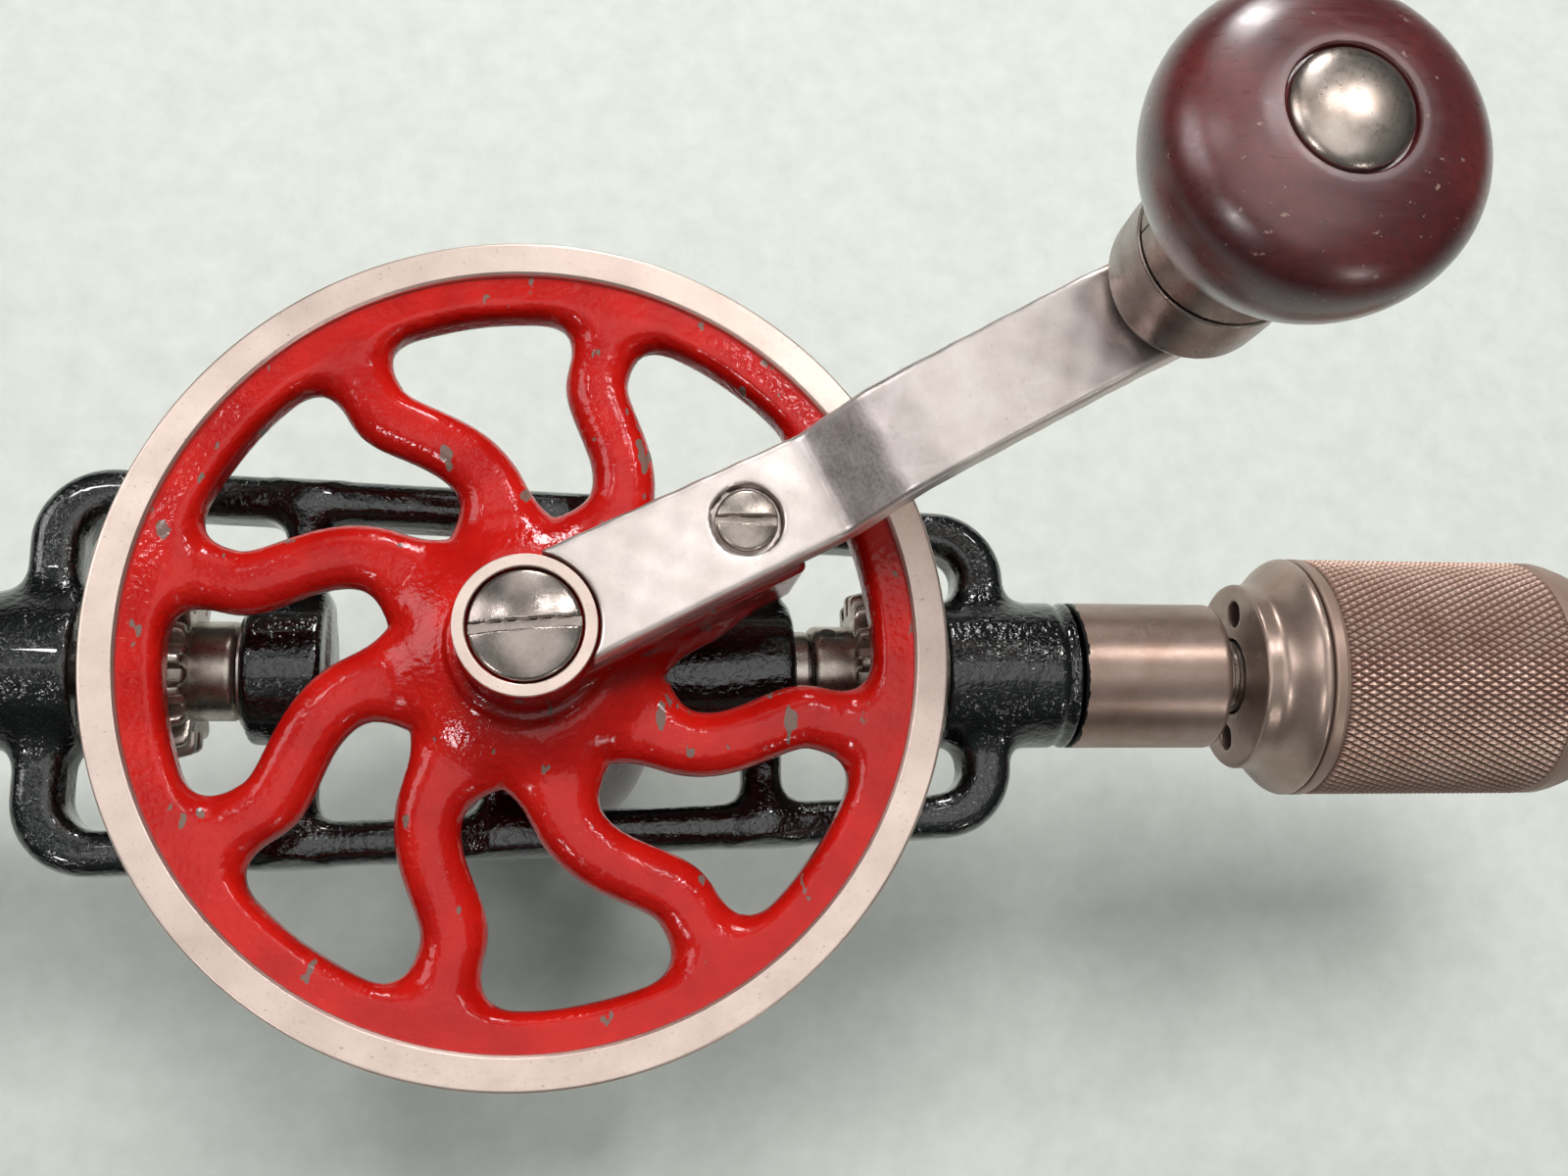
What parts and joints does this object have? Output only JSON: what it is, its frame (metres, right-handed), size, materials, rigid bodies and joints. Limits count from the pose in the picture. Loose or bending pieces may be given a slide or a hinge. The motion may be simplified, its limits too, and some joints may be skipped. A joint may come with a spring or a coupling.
{
  "type": "hand drill",
  "caption": "Hand drill with a crank and bevel gear on an open cast frame, a keyless chuck on the spindle, and turned wooden handles.",
  "frame": {"origin": "centre of the main handle's flat butt, on the spindle's axis", "axes": "+X along the spindle, from the handle to the chuck; +Z along the gear's axis, towards the crank; +Y completes the frame"},
  "size_m": [0.3657, 0.096, 0.1741],
  "materials": {
    "black_enamel": "gloss enamel over a slightly bumpy casting, chipped in places",
    "red_paint": "gloss paint over an orange-peel casting; the rim's face is machined bare",
    "bright_steel": "satin, worn, with light scratches",
    "brown_steel": "satin, tarnished brown; the chuck's sleeve is diamond knurled",
    "dark_steel": "oiled, dark",
    "red_wood": "wine-red stain under a scratched lacquer"
  },
  "bodies": {
    "frame_body": {"frame": "black_enamel", "thrust_collar": "brown_steel", "bearing_balls": "bright_steel", "axle_screw": "dark_steel", "idler_shaft": "dark_steel", "idler_washer": "bright_steel", "main_handle": "red_wood", "handle_ferrule": "bright_steel", "handle_pin": "dark_steel", "side_handle": "red_wood", "side_handle_ferrule": "bright_steel", "side_handle_washer": "bright_steel", "side_handle_stud": "dark_steel"},
    "gear_body": {"main_gear": "red_paint", "crank_arm": "bright_steel", "crank_screw": "bright_steel", "knob_rivet": "bright_steel", "knob_washer": "bright_steel"},
    "knob_body": {"crank_knob": "red_wood", "knob_ferrule": "brown_steel", "knob_collar": "bright_steel"},
    "spindle_body": {"spindle": "bright_steel", "drive_pinion": "bright_steel", "drive_pinion_pin": "dark_steel", "spindle_washer": "bright_steel", "thrust_race": "bright_steel", "chuck_body": "brown_steel"},
    "idler_body": {"idler_pinion": "bright_steel"},
    "sleeve_body": {"chuck_sleeve": "brown_steel", "jaw_nut": "dark_steel"},
    "jaw_1_body": {"chuck_jaw_1": "dark_steel"},
    "jaw_2_body": {"chuck_jaw_2": "dark_steel"},
    "jaw_3_body": {"chuck_jaw_3": "dark_steel"}
  },
  "joints": [
    {"name": "gear_spin", "type": "hinge", "parent": "frame_body", "child": "gear_body", "pos_m": [0.217, 0, 0], "axis": [0, 0, 1], "continuous": true},
    {"name": "knob_spin", "type": "hinge", "parent": "gear_body", "child": "knob_body", "pos_m": [0.28418, 0.03335, 0], "axis": [0, 0, 1], "continuous": true},
    {"name": "spindle_spin", "type": "hinge", "parent": "frame_body", "child": "spindle_body", "pos_m": [0.217, 0, 0], "axis": [1, 0, 0], "continuous": true},
    {"name": "idler_spin", "type": "hinge", "parent": "frame_body", "child": "idler_body", "pos_m": [0.217, 0, 0], "axis": [1, 0, 0], "continuous": true},
    {"name": "sleeve_turn", "type": "hinge", "parent": "spindle_body", "child": "sleeve_body", "pos_m": [0.217, 0, 0], "axis": [1, 0, 0], "range_deg": [-3170, 490]},
    {"name": "jaw_1_slide", "type": "slide", "parent": "spindle_body", "child": "jaw_1_body", "axis": [0.9659, 0, -0.2588], "range_m": [-0.00193, 0.01236]},
    {"name": "jaw_2_slide", "type": "slide", "parent": "spindle_body", "child": "jaw_2_body", "axis": [0.9659, 0.2241, 0.1294], "range_m": [-0.00193, 0.01236]},
    {"name": "jaw_3_slide", "type": "slide", "parent": "spindle_body", "child": "jaw_3_body", "axis": [0.9659, -0.2241, 0.1294], "range_m": [-0.00193, 0.01236]}
  ],
  "couplings": [
    {"joint": "spindle_spin", "follows": "gear_spin", "ratio": -4.375},
    {"joint": "idler_spin", "follows": "gear_spin", "ratio": 4.375},
    {"joint": "jaw_1_slide", "follows": "sleeve_turn", "m_per_rad": -0.00022282},
    {"joint": "jaw_2_slide", "follows": "sleeve_turn", "m_per_rad": -0.00022282},
    {"joint": "jaw_3_slide", "follows": "sleeve_turn", "m_per_rad": -0.00022282}
  ]
}
